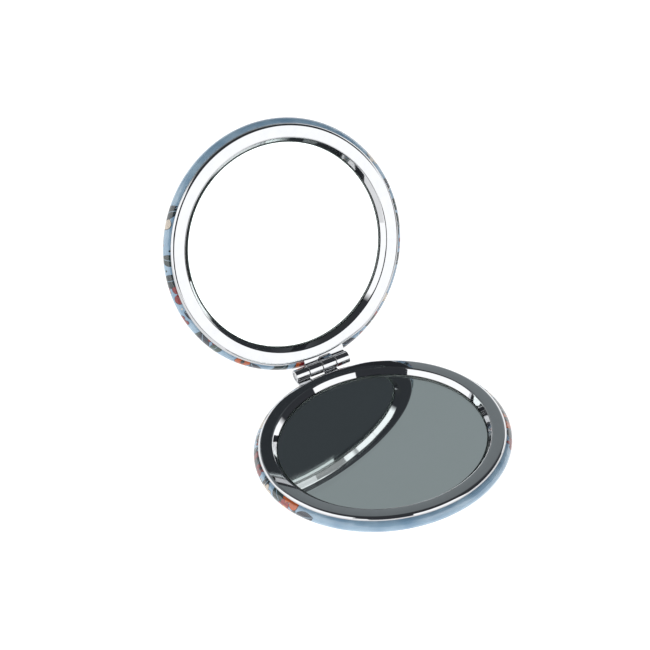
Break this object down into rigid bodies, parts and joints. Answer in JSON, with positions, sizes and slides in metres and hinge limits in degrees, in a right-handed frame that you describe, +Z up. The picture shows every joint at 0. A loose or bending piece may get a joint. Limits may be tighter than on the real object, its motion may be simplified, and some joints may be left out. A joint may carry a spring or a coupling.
{
  "type": "compact mirror",
  "caption": "Round folding compact with a framed mirror in each half, a rolled pin hinge and a printed padded cover; it stands open on its base or closes flat.",
  "frame": {"origin": "centre of the round face that the base rests on", "axes": "+Z up through the base, +Y towards the hinge behind, X along the hinge pin"},
  "size_m": [0.07, 0.1035, 0.0682],
  "materials": {
    "plated_frame": "bright nickel-chrome plate on stamped steel",
    "mirror_glass": "clear float glass silvered behind",
    "adhesive_tape": "matt film tape",
    "shell_steel": "plain stamped tinplate",
    "foam": "fine closed-cell foam",
    "printed_cover": "glossy printed film over a soft backing",
    "hinge_steel": "bright plate on rolled strip",
    "pin_steel": "drawn wire",
    "magnet": "nickel-plated magnet"
  },
  "bodies": {
    "base": {"base_frame": "plated_frame", "base_mirror": "mirror_glass", "base_mirror_tape": "adhesive_tape", "base_back_shell": "shell_steel", "base_foam_pad": "foam", "base_cover": "printed_cover", "base_hinge_leaf": "hinge_steel", "base_magnet": "magnet", "hinge_pin": "pin_steel"},
    "lid": {"lid_frame": "plated_frame", "lid_mirror": "mirror_glass", "lid_mirror_tape": "adhesive_tape", "lid_back_shell": "shell_steel", "lid_foam_pad": "foam", "lid_cover": "printed_cover", "lid_hinge_leaf": "hinge_steel", "lid_magnet": "magnet"}
  },
  "joints": [
    {"name": "lid_hinge", "type": "hinge", "parent": "base", "child": "lid", "pos_m": [0, 0.0358, 0.00469], "axis": [-1, 0, 0], "range_deg": [-114.1, 65.8]}
  ]
}
